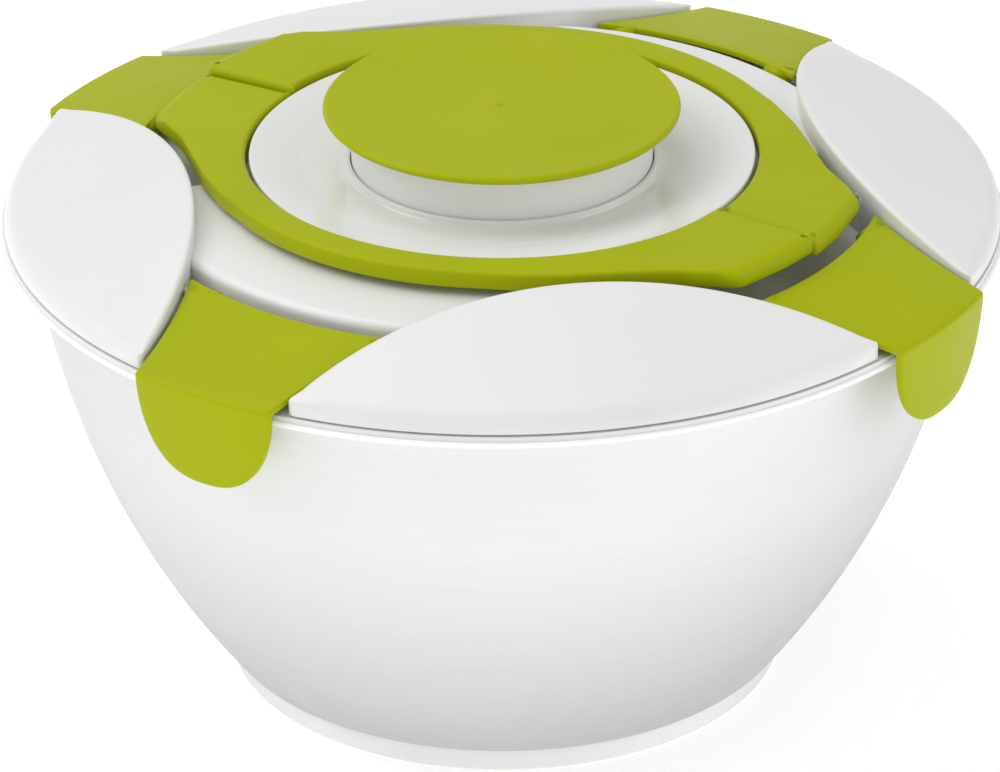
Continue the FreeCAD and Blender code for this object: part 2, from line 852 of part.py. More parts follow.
def make_handle(label, angle):
    """Half of the carry ring; its barrels turn on pins beside the middle line."""
    body = new_body(label)
    band = sketch_on(body, "XZ_Plane", "band", [
        ("0 - band_half", "ring_low_z - ring_depth", -1, "ring_arch"),
        ("band_half", "ring_high_z - ring_depth"),
        ("band_half", "ring_high_z", 1, "ring_arch"),
        ("0 - band_half", "ring_low_z"),
    ])
    band.AttachmentOffset = Placement(Vector(0, 0, value("hinge_y")), Rotation())
    plate = body.newObject("PartDesign::Pad", "plate")
    plate.Profile = band
    plate.Length = 100
    doc.recompute()
    y = "0 - hinge_y"
    for side in (-1, 1):
        solid_rod(body, "Additive", "barrel", (side * value("lug_inner"), y, "hinge_z"), (side, 0, 0),
                  "barrel", "45")
    around_plate = [("0 - 130", "0 - 130"), ("130", "0 - 130"), ("130", "30"), ("0 - 130", "30")]
    cut_through(body, "XY_Plane", "trim", around_plate, handle_outline())
    solid_rod(body, "Subtractive", "opening", (0, 0, 100), (0, 0, 1), "ring_inner", "100")
    cut_through(body, "XZ_Plane", "crown", [
        ("0 - band_half", "ring_low_z"),
        ("0 - band_half", "180"),
        ("band_half", "180"),
        ("band_half", "ring_high_z", 1, "ring_arch"),
    ])
    for side in (-1, 1):
        low, high = sorted((side * value("heel"), side * value("lobe_radius + 10")))
        solid_box(body, "Subtractive", "heel", (low, -12, 130), (high, 2, "hinge_z - 1.6"))
        solid_rod(body, "Subtractive", "bore", (side * value("lug_inner - 2"), y, "hinge_z"), (side, 0, 0),
                  "pin_bore", "33")
    body.Placement = turned(angle)
    keep(label, body)


def make_handle_pins():
    pins = []
    for side in (-1, 1):
        for edge in (-1, 1):
            pin = doc.addObject("Part::Cylinder", "handle_pin")
            bind(pin, Radius="pin", Height="29")
            start = Vector(side * value("lug_inner + 1"), edge * value("hinge_y"), value("hinge_z"))
            pin.Placement = Placement(start, Rotation(Vector(0, 0, 1), Vector(side, 0, 0)))
            pins.append(pin)
    group = doc.addObject("Part::Compound", "handle_pins")
    group.Links = pins
    keep("handle_pins", group)


def petal_side(radius_from_axis):
    """Half width of the channel between two petals at a distance along a latch's axis."""
    centre = value("petal_centre") * math.sqrt(0.5)
    arc = value("petal_arc + latch_gap")
    return centre - math.sqrt(arc ** 2 - (radius_from_axis - centre) ** 2)


def make_latch(label, angle):
    """Folded latch: a plate between two petals and a tongue over the rims."""
    body = new_body(label)
    profile = sketch_on(body, "XZ_Plane", "fold_profile", [
        ("latch_inner - 8", "latch_inner_z + 1.6 - latch_skin"),
        ("latch_fold - 1.9", "latch_fold_z - latch_skin"),
        ("latch_fold - 2.2", "rim_z"),
        ("latch_fold - 2.4", "128.6"),
        ("latch_fold - 3.3", "127.4"),
        ("latch_fold - 2.7", "125.6"),
        ("tongue_foot - latch_skin", "tongue_z"),
        ("tongue_foot", "tongue_z"),
        ("latch_fold", "latch_fold_z - 0.8"),
        ("latch_fold - 0.8", "latch_fold_z"),
        ("latch_inner - 8", "latch_inner_z + 1.6"),
    ])
    turn = body.newObject("PartDesign::Revolution", "folded_strip")
    turn.Profile = profile
    turn.ReferenceAxis = (profile, ["V_Axis"])
    turn.Angle = 60
    turn.Midplane = True
    doc.recompute()
    corner_y = value("latch_corner")
    corner_x = math.sqrt(value("latch_inner") ** 2 - corner_y ** 2)
    tip_x = value("latch_tip")
    tip_y = petal_side(tip_x)
    root_x = corner_x + 2.6
    root_y = petal_side(root_x)
    side_arc = "petal_arc + latch_gap"
    plan = [
        (str(corner_x), "0 - %r" % corner_y, 1, "latch_inner"),
        (str(corner_x), str(corner_y)),
        (str(root_x), str(root_y), 1, side_arc),
        (str(tip_x), str(tip_y)),
        (str(tip_x), "0 - %r" % tip_y, 1, side_arc),
        (str(root_x), "0 - %r" % root_y),
    ]
    frame = [("60", "0 - 80"), ("160", "0 - 80"), ("160", "80"), ("60", "80")]
    cut_through(body, "XY_Plane", "sides", frame, plan)
    tongue = [
        ("0 - 30", "latch_fold_z - 1.2"),
        ("0 - fold_half", "latch_fold_z - 1.2"),
        ("0 - tongue_half", "tongue_round_z", 1, "tongue_round"),
        ("tongue_half", "tongue_round_z"),
        ("fold_half", "latch_fold_z - 1.2"),
        ("30", "latch_fold_z - 1.2"),
        ("30", "100"),
        ("0 - 30", "100"),
    ]
    cut_through(body, "YZ_Plane", "tongue_shape", tongue)
    for edge in (-1, 1):
        start = ("latch_hinge", edge * value("knuckle_start"), "latch_hinge_z")
        solid_rod(body, "Additive", "knuckle", start, (0, edge, 0), "knuckle", "knuckle_length")
    for edge in (-1, 1):
        start = ("latch_hinge", edge * value("knuckle_start + 1"), "latch_hinge_z")
        solid_rod(body, "Subtractive", "knuckle_bore", start, (0, edge, 0), "pin_bore", "15")
    body.Placement = turned(angle)
    keep(label, body)


def check_and_write():
    """Stop on any failed object or bad shape, then write one STEP file per node."""
    doc.recompute()
    failed = [o.Name for o in doc.Objects if "Invalid" in o.State or "Error" in o.State]
    if failed:
        raise SystemExit("failed objects: %s" % ", ".join(failed))
    os.makedirs("parts", exist_ok=True)
    for node in nodes:
        shape = node.Shape
        if shape.isNull() or not shape.isValid():
            raise SystemExit("bad shape: %s" % node.Label)
        shape.exportStep(os.path.join("parts", node.Label + ".step"))
        print("%-16s solids %d volume %.1f box %s" % (
            node.Label, len(shape.Solids), shape.Volume, shape.BoundBox))


fill_sheet()
make_bowl()
make_foot_ring()
make_basket()
make_lid_base()
make_lid_cover()
make_latch_pins()
make_dish_plate()
make_lid_seal()
make_drive_housing()
make_housing_screws()
make_retaining_ring()
make_knob_cap()
make_knob_collar()
make_knob_screw()
make_spindle()
make_return_spring()
make_spring_seat()
make_drive_nut()
make_drive_disc()
make_handle("handle_front", 0)
make_handle("handle_rear", 180)
make_handle_pins()
for side_name, side_angle in QUARTERS.items():
    make_latch("latch_" + side_name, side_angle)
check_and_write()
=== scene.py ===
"""Looks of the salad spinner: smooth moulded shells, studio light and the camera."""

import json
import math

import bmesh
import bpy
from mathutils import Matrix, Vector
from mathutils.geometry import delaunay_2d_cdt


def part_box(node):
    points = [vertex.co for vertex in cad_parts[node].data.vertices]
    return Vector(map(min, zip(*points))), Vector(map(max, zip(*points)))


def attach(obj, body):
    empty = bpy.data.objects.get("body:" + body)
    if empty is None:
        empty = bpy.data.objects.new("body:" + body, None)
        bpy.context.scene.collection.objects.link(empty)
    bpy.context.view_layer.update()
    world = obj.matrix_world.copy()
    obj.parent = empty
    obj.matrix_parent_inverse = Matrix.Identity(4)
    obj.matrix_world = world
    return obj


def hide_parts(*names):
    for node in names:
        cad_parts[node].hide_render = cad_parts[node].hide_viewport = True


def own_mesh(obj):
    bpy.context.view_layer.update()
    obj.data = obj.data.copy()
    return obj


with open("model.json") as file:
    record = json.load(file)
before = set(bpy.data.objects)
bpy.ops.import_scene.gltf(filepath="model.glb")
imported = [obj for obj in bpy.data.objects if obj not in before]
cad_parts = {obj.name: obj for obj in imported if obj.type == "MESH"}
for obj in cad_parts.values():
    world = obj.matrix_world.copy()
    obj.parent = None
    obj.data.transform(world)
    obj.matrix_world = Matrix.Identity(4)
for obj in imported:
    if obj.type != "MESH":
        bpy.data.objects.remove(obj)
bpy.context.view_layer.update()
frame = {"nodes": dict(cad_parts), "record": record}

MM = 0.001
QUARTERS = {"right": 0, "rear": 90, "left": 180, "front": 270}

# Sizes in millimetres. They repeat the CAD's driving values, except that the handle's
# barrels are thinner here, so that they stay under the ring's rounded top.
BOWL_ARC, BOWL_WALL = 244.0, 2.2
LID_RADIUS = 135.0
BASE_TOP = 132.4
DECK_EDGE = 98.4
DECK_LEVEL = 79.0
DECK_HIGH, DECK_LOW = 143.9, 143.5
DOME_TOP, DOME_RADIUS = 160.0, 409.1
PETAL_CENTRE, PETAL_ARC = 220.3, 134.7
RING_INNER, RING_DEPTH = 69.5, 5.1
HINGE_Y, HINGE_Z = 5.4, 145.0
BARREL_START, BARREL_LENGTH, BARREL_RADIUS = 70.2, 22.0, 3.0
COIL_RADIUS, COIL_WIRE, COIL_PITCH = 10.0, 0.6, 5.0
KNOB_RIM, KNOB_TOP, KNOB_DIP = 46.0, 162.5, 0.92


# ------------------------------------------------------------------ mesh building


def finish_mesh(name, vertices, faces, body, material):
    """Object from millimetre points; smooth, with outward normals, riding on a body."""
    mesh = bpy.data.meshes.new(name)
    mesh.from_pydata([Vector(v) * MM for v in vertices], [], faces)
    work = bmesh.new()
    work.from_mesh(mesh)
    bmesh.ops.remove_doubles(work, verts=work.verts, dist=0.002 * MM)
    bmesh.ops.recalc_face_normals(work, faces=work.faces)
    work.to_mesh(mesh)
    work.free()
    for polygon in mesh.polygons:
        polygon.use_smooth = True
    piece = bpy.data.objects.new(name, mesh)
    bpy.context.scene.collection.objects.link(piece)
    mesh.materials.append(material)
    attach(piece, body)
    return piece


def round_corners(corners, steps=6):
    """Outline with each corner (x, y, radius) turned into an arc."""
    points = []
    count = len(corners)
    for index, (x, y, radius) in enumerate(corners):
        if radius <= 0:
            points.append(Vector((x, y)))
            continue
        here = Vector((x, y))
        before = Vector(corners[index - 1][:2])
        after = Vector(corners[(index + 1) % count][:2])
        back = (before - here).normalized()
        ahead = (after - here).normalized()
        half = math.acos(max(-1.0, min(1.0, back.dot(ahead)))) / 2.0
        reach = min(radius / math.tan(half), (before - here).length * 0.49,
                    (after - here).length * 0.49)
        fitted = reach * math.tan(half)
        centre = here + (back + ahead).normalized() * (fitted / math.sin(half))
        start = here + back * reach - centre
        finish = here + ahead * reach - centre
        turn = start.angle_signed(finish)
        for step in range(steps + 1):
            angle = -turn * step / steps
            points.append(centre + Matrix.Rotation(angle, 2) @ start)
    return points


def lathe(name, profile, body, material, segments=224, steps=6):
    """Turned shell from a closed (radius, height, corner radius) outline."""
    outline = round_corners(profile, steps=steps)
    vertices = []
    faces = []
    rings = len(outline)
    for turn in range(segments):
        angle = 2 * math.pi * turn / segments
        across, along = math.cos(angle), math.sin(angle)
        vertices += [(p.x * across, p.x * along, p.y) for p in outline]
    for turn in range(segments):
        here = turn * rings
        there = ((turn + 1) % segments) * rings
        for k in range(rings):
            nxt = (k + 1) % rings
            faces.append((here + k, there + k, there + nxt, here + nxt))
    return finish_mesh(name, vertices, faces, body, material)


def rod(start, length, radius, segments=32):
    """Short capped barrel along X."""
    vertices = []
    faces = []
    for end in (0, 1):
        for k in range(segments):
            a = 2 * math.pi * k / segments
            vertices.append((start[0] + end * length, start[1] + radius * math.cos(a),
                             start[2] + radius * math.sin(a)))
    for k in range(segments):
        nxt = (k + 1) % segments
        faces.append((k, nxt, segments + nxt, segments + k))
    faces.append(tuple(range(segments)))
    faces.append(tuple(range(2 * segments - 1, segments - 1, -1)))
    return vertices, faces


def even_spacing(points, spacing):
    """Closed outline resampled at even spacing."""
    lengths = [(points[i] - points[i - 1]).length for i in range(len(points))]
    total = sum(lengths)
    count = max(12, int(total / spacing))
    result = []
    walked = 0.0
    index = 0
    for step in range(count):
        target = total * step / count
        while walked + lengths[(index + 1) % len(points)] < target:
            index += 1
            walked += lengths[index % len(points)]
        nxt = (index + 1) % len(points)
        part = (target - walked) / max(lengths[nxt], 1e-9)
        result.append(points[index % len(points)].lerp(points[nxt], part))
    return result


def inward(points):
    """Unit normals that point into a closed anticlockwise outline."""
    normals = []
    for index, point in enumerate(points):
        along = points[(index + 1) % len(points)] - points[index - 1]
        normals.append(Vector((-along.y, along.x)).normalized())
    return normals


def inside(point, outline):
    """Whether a point lies within a closed outline, by counting crossings."""
    hit = False
    for index, b in enumerate(outline):
        a = outline[index - 1]
        if (a.y > point.y) != (b.y > point.y):
            if point.x < (b.x - a.x) * (point.y - a.y) / (b.y - a.y) + a.x:
                hit = not hit
    return hit


def plate_mesh(outline, edge, thickness, place, rows, columns, foot=0.4, steps=5):
    """Closed plate with rounded edges.

    outline: anticlockwise plan; edge(point): top edge radius there; thickness(point):
    depth there; place(u, v, h): final position of plan point (u, v) at depth h.
    """
    normals = inward(outline)
    count = len(outline)
    rings = []
    for step in range(steps + 1):
        angle = math.pi / 2 * step / steps
        rings.append([(p + n * edge(p) * (1 - math.sin(angle)), -edge(p) * (1 - math.cos(angle)))
                      for p, n in zip(outline, normals)])
    for step in range(3):
        angle = math.pi / 2 * step / 2
        rings.append([(p + n * foot * (1 - math.cos(angle)),
                       -thickness(p) + foot * (1 - math.sin(angle)))
                      for p, n in zip(outline, normals)])
    vertices = []
    faces = []
    for ring in rings:
        vertices += [place(p.x, p.y, h) for p, h in ring]
    for level in range(len(rings) - 1):
        for k in range(count):
            nxt = (k + 1) % count
            faces.append((level * count + k, level * count + nxt,
                          (level + 1) * count + nxt, (level + 1) * count + k))
    for ring, depth, flip in ((0, lambda p: 0.0, False), (len(rings) - 1, thickness, True)):
        border = [p for p, _ in rings[ring]]
        grid = [Vector((u, v)) for u in rows for v in columns]
        clear = 0.6
        inner = [b + n * clear for b, n in zip(border, normals)]
        extra = [g for g in grid if inside(g, inner)]
        edges = [(k, (k + 1) % count) for k in range(count)]
        points, _, triangles, origins, _, _ = delaunay_2d_cdt(
            border + extra, edges, [], 1, 1e-6)
        numbers = []
        for point, origin in zip(points, origins):
            if origin and origin[0] < count:
                numbers.append(ring * count + origin[0])
            else:
                numbers.append(len(vertices))
                vertices.append(place(point.x, point.y, -depth(point)))
        for triangle in triangles:
            face = [numbers[t] for t in triangle]
            faces.append(tuple(reversed(face)) if flip else tuple(face))
    return vertices, faces


def spaced(low, high, step):
    """Evenly spaced numbers from low to high, about step apart."""
    count = max(1, int(round((high - low) / step)))
    return [low + (high - low) * k / count for k in range(count + 1)]


def arc(centre, radius, start, finish, steps):
    """Points on an arc between two angles in degrees."""
    angles = [math.radians(start + (finish - start) * k / steps) for k in range(steps + 1)]
    return [Vector((centre[0] + radius * math.cos(a), centre[1] + radius * math.sin(a)))
            for a in angles]


def spun(vertices, degrees):
    """Points turned about the lid's axis."""
    turn = Matrix.Rotation(math.radians(degrees), 3, "Z")
    return [turn @ Vector(v) for v in vertices]


def joined(*meshes):
    """One vertex and face list from several."""
    vertices = []
    faces = []
    for more, shapes in meshes:
        start = len(vertices)
        vertices += list(more)
        faces += [tuple(start + k for k in face) for face in shapes]
    return vertices, faces


# ---------------------------------------------------------------------- materials


def new_material(name, color, roughness, **sockets):
    """Principled material; returns it with its node tree and shader."""
    material = bpy.data.materials.new(name)
    material.use_nodes = True
    tree = material.node_tree
    shader = tree.nodes["Principled BSDF"]
    shader.inputs["Base Color"].default_value = (*color, 1)
    shader.inputs["Roughness"].default_value = roughness
    for socket, number in sockets.items():
        shader.inputs[socket.replace("_", " ")].default_value = number
    return material, tree, shader


def position(tree, scale=(1, 1, 1)):
    """Object coordinates in metres, stretched by scale."""
    coordinates = tree.nodes.new("ShaderNodeTexCoord")
    mapping = tree.nodes.new("ShaderNodeMapping")
    mapping.inputs["Scale"].default_value = scale
    tree.links.new(coordinates.outputs["Object"], mapping.inputs["Vector"])
    return mapping.outputs["Vector"]


def noise(tree, vector, scale, detail=3.0):
    """Noise value, mostly between 0.3 and 0.7."""
    texture = tree.nodes.new("ShaderNodeTexNoise")
    texture.inputs["Scale"].default_value = scale
    texture.inputs["Detail"].default_value = detail
    tree.links.new(vector, texture.inputs["Vector"])
    return texture.outputs["Fac"]


def ranged(tree, source, start, finish, low, high):
    """Map a value between start and finish to a range, held at both ends."""
    node = tree.nodes.new("ShaderNodeMapRange")
    for socket, number in (("From Min", start), ("From Max", finish),
                           ("To Min", low), ("To Max", high)):
        node.inputs[socket].default_value = number
    tree.links.new(source, node.inputs["Value"])
    return node.outputs["Result"]


def spread(tree, source, low, high):
    """Map a noise value, which stays near its middle, to a range."""
    return ranged(tree, source, 0.3, 0.7, low, high)


def product(tree, first, second):
    """Two values multiplied."""
    node = tree.nodes.new("ShaderNodeMath")
    node.operation = "MULTIPLY"
    tree.links.new(first, node.inputs[0])
    tree.links.new(second, node.inputs[1])
    return node.outputs["Value"]


def turned_away(tree):
    """0 where the surface faces the viewer, 1 where it is seen edge on."""
    weight = tree.nodes.new("ShaderNodeLayerWeight")
    weight.inputs["Blend"].default_value = 0.5
    return weight.outputs["Facing"]


def bump(tree, shader, height, strength, distance):
    """Raise the surface by a height value; distance is in metres."""
    node = tree.nodes.new("ShaderNodeBump")
    node.inputs["Strength"].default_value = strength
    node.inputs["Distance"].default_value = distance
    tree.links.new(height, node.inputs["Height"])
    tree.links.new(node.outputs["Normal"], shader.inputs["Normal"])


def two_tone(tree, shader, source, first, second):
    """Slow colour drift between two close tones."""
    mix = tree.nodes.new("ShaderNodeMix")
    mix.data_type = "RGBA"
    mix.inputs["A"].default_value = (*first, 1)
    mix.inputs["B"].default_value = (*second, 1)
    tree.links.new(source, mix.inputs["Factor"])
    tree.links.new(mix.outputs["Result"], shader.inputs["Base Color"])


def lime_plastic():
    """Matt lime plastic with a fine spark-eroded grain."""
    material, tree, shader = new_material(
        "lime_plastic", (0.38, 0.435, 0.0), 0.36, Specular_IOR_Level=0.10)
    here = position(tree)
    two_tone(tree, shader, spread(tree, noise(tree, here, 22), 0, 1),
             (0.365, 0.420, 0.0), (0.395, 0.445, 0.0))
    grain = noise(tree, here, 2600, 2)
    tree.links.new(spread(tree, noise(tree, here, 60), 0.32, 0.41), shader.inputs["Roughness"])
    bump(tree, shader, grain, 0.22, 0.00012)
    return material


def white_plastic():
    """Satin white moulding with a faint orange-peel surface."""
    material, tree, shader = new_material(
        "white_plastic", (0.80, 0.80, 0.80), 0.36, Specular_IOR_Level=0.45)
    here = position(tree)
    two_tone(tree, shader, spread(tree, noise(tree, here, 14), 0, 1),
             (0.785, 0.785, 0.782), (0.81, 0.81, 0.808))
    tree.links.new(spread(tree, noise(tree, here, 45), 0.33, 0.40), shader.inputs["Roughness"])
    bump(tree, shader, noise(tree, here, 900, 2), 0.08, 0.0001)
    return material


def white_gloss():
    """Polished white dish that mirrors the collar."""
    material, tree, shader = new_material(
        "white_gloss", (0.82, 0.82, 0.815), 0.16, Coat_Weight=0.5, Coat_Roughness=0.06)
    here = position(tree)
    tree.links.new(spread(tree, noise(tree, here, 30), 0.13, 0.20), shader.inputs["Roughness"])
    bump(tree, shader, noise(tree, here, 160, 2), 0.05, 0.0002)
    return material


def frosted_bowl():
    """Milky polypropylene with painted shade: darker where the wall is seen edge on and towards
    the bottom, and a faint painted glow from a white emission.
    """
    material, tree, shader = new_material(
        "frosted_bowl", (0.93, 0.93, 0.93), 0.40,
        Subsurface_Weight=0.4, Subsurface_Scale=0.02, Specular_IOR_Level=0.4,
        Emission_Strength=0.08)
    shader.inputs["Subsurface Radius"].default_value = (1, 1, 1)
    # Painted glow: a faint white emission on the bowl.
    shader.inputs["Emission Color"].default_value = (1, 1, 1, 1)
    here = position(tree)
    flow = noise(tree, position(tree, (1, 1, 16)), 26, 5)
    split = tree.nodes.new("ShaderNodeSeparateXYZ")
    tree.links.new(here, split.inputs["Vector"])
    # Painted shade: the wall is painted darker where it is seen edge on.
    edge = ranged(tree, turned_away(tree), 0.28, 1.0, 1.0, 0.54)
    # Painted shade: the wall is painted darker towards the bottom.
    height = ranged(tree, split.outputs["Z"], 0.01, 0.09, 0.64, 1.0)
    # Random tone from the flow noise, multiplied by the painted shade above.
    tone_and_painted_shade = product(tree, product(tree, edge, height), spread(tree, flow, 0.875, 0.895))
    tree.links.new(tone_and_painted_shade, shader.inputs["Base Color"])
    tree.links.new(spread(tree, noise(tree, here, 70), 0.36, 0.46), shader.inputs["Roughness"])
    bump(tree, shader, flow, 0.06, 0.0004)
    return material


def foot_rubber():
    """Clear soft rubber band under the bowl, with painted shade: darker where it is seen edge
    on.
    """
    material, tree, shader = new_material(
        "foot_rubber", (0.92, 0.92, 0.92), 0.30)
    here = position(tree)
    # Painted shade: the band is painted darker where it is seen edge on.
    edge = ranged(tree, turned_away(tree), 0.3, 1.0, 1.0, 0.72)
    tone_and_painted_shade = product(tree, edge, spread(tree, noise(tree, here, 40), 0.91, 0.94))
    tree.links.new(tone_and_painted_shade, shader.inputs["Base Color"])
    tree.links.new(spread(tree, noise(tree, here, 90), 0.26, 0.38), shader.inputs["Roughness"])
    bump(tree, shader, noise(tree, here, 700, 2), 0.1, 0.0001)
    return material


def inner_plastic():
    """Plain moulded parts inside the lid and the basket."""
    material, tree, shader = new_material("inner_plastic", (0.78, 0.78, 0.77), 0.45)
    here = position(tree)
    tree.links.new(spread(tree, noise(tree, here, 60), 0.40, 0.52), shader.inputs["Roughness"])
    bump(tree, shader, noise(tree, here, 1200, 2), 0.1, 0.0001)
    return material


def seal_silicone():
    """Soft grey lip seal."""
    material, tree, shader = new_material("seal_silicone", (0.7, 0.7, 0.7), 0.5)
    here = position(tree)
    tree.links.new(spread(tree, noise(tree, here, 120), 0.45, 0.6), shader.inputs["Roughness"])
    return material


def steel():
    """Drawn steel wire and pins."""
    material, tree, shader = new_material("steel", (0.6, 0.6, 0.6), 0.3, Metallic=1.0)
    here = position(tree, (1, 1, 40))
    tree.links.new(spread(tree, noise(tree, here, 400), 0.22, 0.4), shader.inputs["Roughness"])
    return material


LIME = lime_plastic()
WHITE = white_plastic()
GLOSS = white_gloss()
FROST = frosted_bowl()
RUBBER = foot_rubber()
INNER = inner_plastic()
SEAL = seal_silicone()
STEEL = steel()


# --------------------------------------------------------------------- the bowl


def bowl_curve(start, finish, radius, steps=40):
    """Points of the bowl's wall arc, which bulges away from the axis."""
    a, b = Vector(start), Vector(finish)
    chord = b - a
    half = chord.length / 2
    across = Vector((-chord.y, chord.x)).normalized()
    centre = (a + b) / 2 + across * math.sqrt(radius ** 2 - half ** 2)
    first = math.atan2(a.y - centre.y, a.x - centre.x)
    last = math.atan2(b.y - centre.y, b.x - centre.x)
    return [(centre.x + radius * math.cos(first + (last - first) * k / steps),
             centre.y + radius * math.sin(first + (last - first) * k / steps), 0)
            for k in range(1, steps)]


def make_bowl():
    """Wall with a faint moulded line, a rim flange, a pivot and the foot band's tongue."""
    line_z, line_depth, line_half = 84.0, 0.12, 1.2
    wall = [(radius - line_depth if abs(z - line_z) < line_half else radius, z, corner)
            for radius, z, corner in bowl_curve((79.4, 7.6), (128.1, 129.5), BOWL_ARC)]
    inner = bowl_curve((77.2, 8.5), (125.9, 131.0), BOWL_ARC - BOWL_WALL)
    profile = [(0.01, 6.3, 0), (71.0, 6.3, 0.3), (71.0, 2.2, 0.3), (73.4, 2.2, 0.3),
               (73.4, 6.3, 0.3), (76.4, 6.3, 0.4), (79.4, 7.6, 1.5)]
    profile += wall
    profile += [(128.1, 129.5, 1.2), (136.2, 129.5, 0.5), (136.2, 131.0, 0.5),
                (125.9, 131.0, 0.6)]
    profile += inner[::-1]
    profile += [(77.2, 8.5, 3.0), (4.5, 8.5, 1.0), (2.5, 16.5, 0.8), (0.01, 18.0, 0)]
    piece = lathe("bowl_shell", profile, "bowl", FROST, 256)
    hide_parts("bowl")


def make_foot():
    """Grooved band that grips the tongue under the bowl."""
    profile = [(68.5, 0.0, 0.5), (76.9, 0.0, 0.7), (75.6, 6.0, 0.9), (73.5, 6.0, 0.1),
               (73.5, 2.0, 0.1), (70.9, 2.0, 0.1), (70.9, 6.0, 0.1), (68.5, 6.0, 0.5)]
    piece = lathe("foot_band", profile, "bowl", RUBBER)
    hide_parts("foot_ring")


# ---------------------------------------------------------------------- the lid


def dome_z(radius):
    """Height of the dome that all four petals lie on."""
    return DOME_TOP - DOME_RADIUS + math.sqrt(DOME_RADIUS ** 2 - radius ** 2)


def petal_outline():
    """Lens between the lid's rim and the petal's inner arc, centred on +X."""
    half_angle, tip_round = 35.18, 0.8
    rim = arc((0, 0), LID_RADIUS, -half_angle, half_angle, 60)
    tip = rim[-1]
    swing = math.degrees(math.atan2(tip.y, PETAL_CENTRE - tip.x))
    inner = arc((PETAL_CENTRE, 0), PETAL_ARC, 180 - swing, 180 + swing, 60)
    corners = [(p.x, p.y, 0) for p in rim[:-1]] + [(tip.x, tip.y, tip_round)]
    corners += [(p.x, p.y, 0) for p in inner[1:-1]] + [(rim[0].x, rim[0].y, tip_round)]
    del corners[0]
    return even_spacing(round_corners(corners), 1.2)


def petal_edge(point):
    """Soft 4 mm edge along the rim, a crisper one inside, thinning out at the tips."""
    to_rim = LID_RADIUS - point.length
    to_inner = PETAL_ARC - (point - Vector((PETAL_CENTRE, 0))).length
    rim_round, inner_round, least = 3.9, 1.4, 0.2
    wanted = rim_round if to_rim < to_inner else inner_round
    return max(least, min(wanted, 0.3 * max(to_rim, to_inner)))


def make_petals():
    """Four raised petals that stand on the lid's base plate."""
    outline = petal_outline()
    meshes = []
    for angle in (45, 135, 225, 315):
        vertices, faces = plate_mesh(
            outline, petal_edge, lambda p: dome_z(p.length) - BASE_TOP - 0.35,
            lambda u, v, h: (u, v, dome_z(math.hypot(u, v)) + h),
            spaced(86, 135, 3.5), spaced(-80, 80, 3.5))
        meshes.append((spun(vertices, angle), faces))
    return meshes


def deck_height(radius):
    """Deck surface: level under the ring, then sloping to its edge."""
    if radius < DECK_LEVEL:
        return DECK_HIGH
    fall = (DECK_HIGH - DECK_LOW) / (DECK_EDGE - DECK_LEVEL)
    return DECK_HIGH - (radius - DECK_LEVEL) * fall


def deck_edge(point):
    """Generous round on the outer edge, a small one round the openings."""
    outer_round, opening_round = 2.4, 0.6
    return outer_round if point.length > DECK_EDGE - 1.0 else opening_round


def make_deck():
    """Front and rear deck plates with the openings round the handle's lobes."""
    outer = arc((0, 0), DECK_EDGE, -158.0, -22.0, 90)
    right = [(90, -38, 2), (78, -46, 3), (64.5, -56.5, 3), (58, -44, 3), (63, -22, 3),
             (63.2, -10, 0)]
    inner = arc((0, 0), 64.2, -11, -169, 60)
    left = [(-x, y, r) for x, y, r in right[::-1]]
    corners = [(p.x, p.y, 0) for p in outer[:-1]] + [(outer[-1].x, outer[-1].y, 1)]
    corners += right + [(p.x, p.y, 0) for p in inner[2:-2]] + left
    corners[0] = (outer[0].x, outer[0].y, 1)
    outline = even_spacing(round_corners(corners), 1.6)
    front = plate_mesh(
        outline, deck_edge, lambda p: deck_height(p.length) - BASE_TOP - 0.05,
        lambda u, v, h: (u, v, deck_height(math.hypot(u, v)) + h),
        spaced(-96, 96, 5), spaced(-96, -8, 5))
    return [front, (spun(front[0], 180), front[1])]


def make_cover():
    """Petals and deck as one white moulding."""
    vertices, faces = joined(*make_petals(), *make_deck())
    piece = finish_mesh("lid_shell", vertices, faces, "lid", WHITE)
    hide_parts("lid_cover")


def make_dish():
    """Shallow dish with a raised rim and the tube that guides the collar."""
    profile = [(41.1, 137.0, 0.3), (42.4, 137.0, 0.3), (42.4, 144.2, 0.5), (54.5, 145.4, 4),
               (67.0, 147.8, 0.8), (67.0, 143.9, 0.2), (68.5, 143.9, 0.2), (68.5, 149.6, 0.7),
               (54.5, 147.0, 12), (44.5, 146.0, 1.5), (42.4, 146.2, 1.0), (42.4, 148.0, 0.45),
               (41.1, 148.0, 0.45)]
    piece = lathe("dish_shell", profile, "lid", GLOSS)
    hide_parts("dish_plate")


# ---------------------------------------------------------------------- the knob


def make_knob():
    """Mushroom cap with a slightly dished top."""
    profile = [(0.01, 160.0, 0), (40.8, 160.0, 0.5), (47.2, 161.1, 0.6), (48.5, 162.4, 0.7),
               (47.6, 163.6, 0.9)]
    for radius in range(int(KNOB_RIM), 0, -2):
        profile.append((radius, KNOB_TOP + KNOB_DIP * (radius / KNOB_RIM) ** 2, 0))
    profile += [(0.01, KNOB_TOP, 0)]
    cap = lathe("knob_disc", profile, "knob", LIME)
    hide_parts("knob_cap")


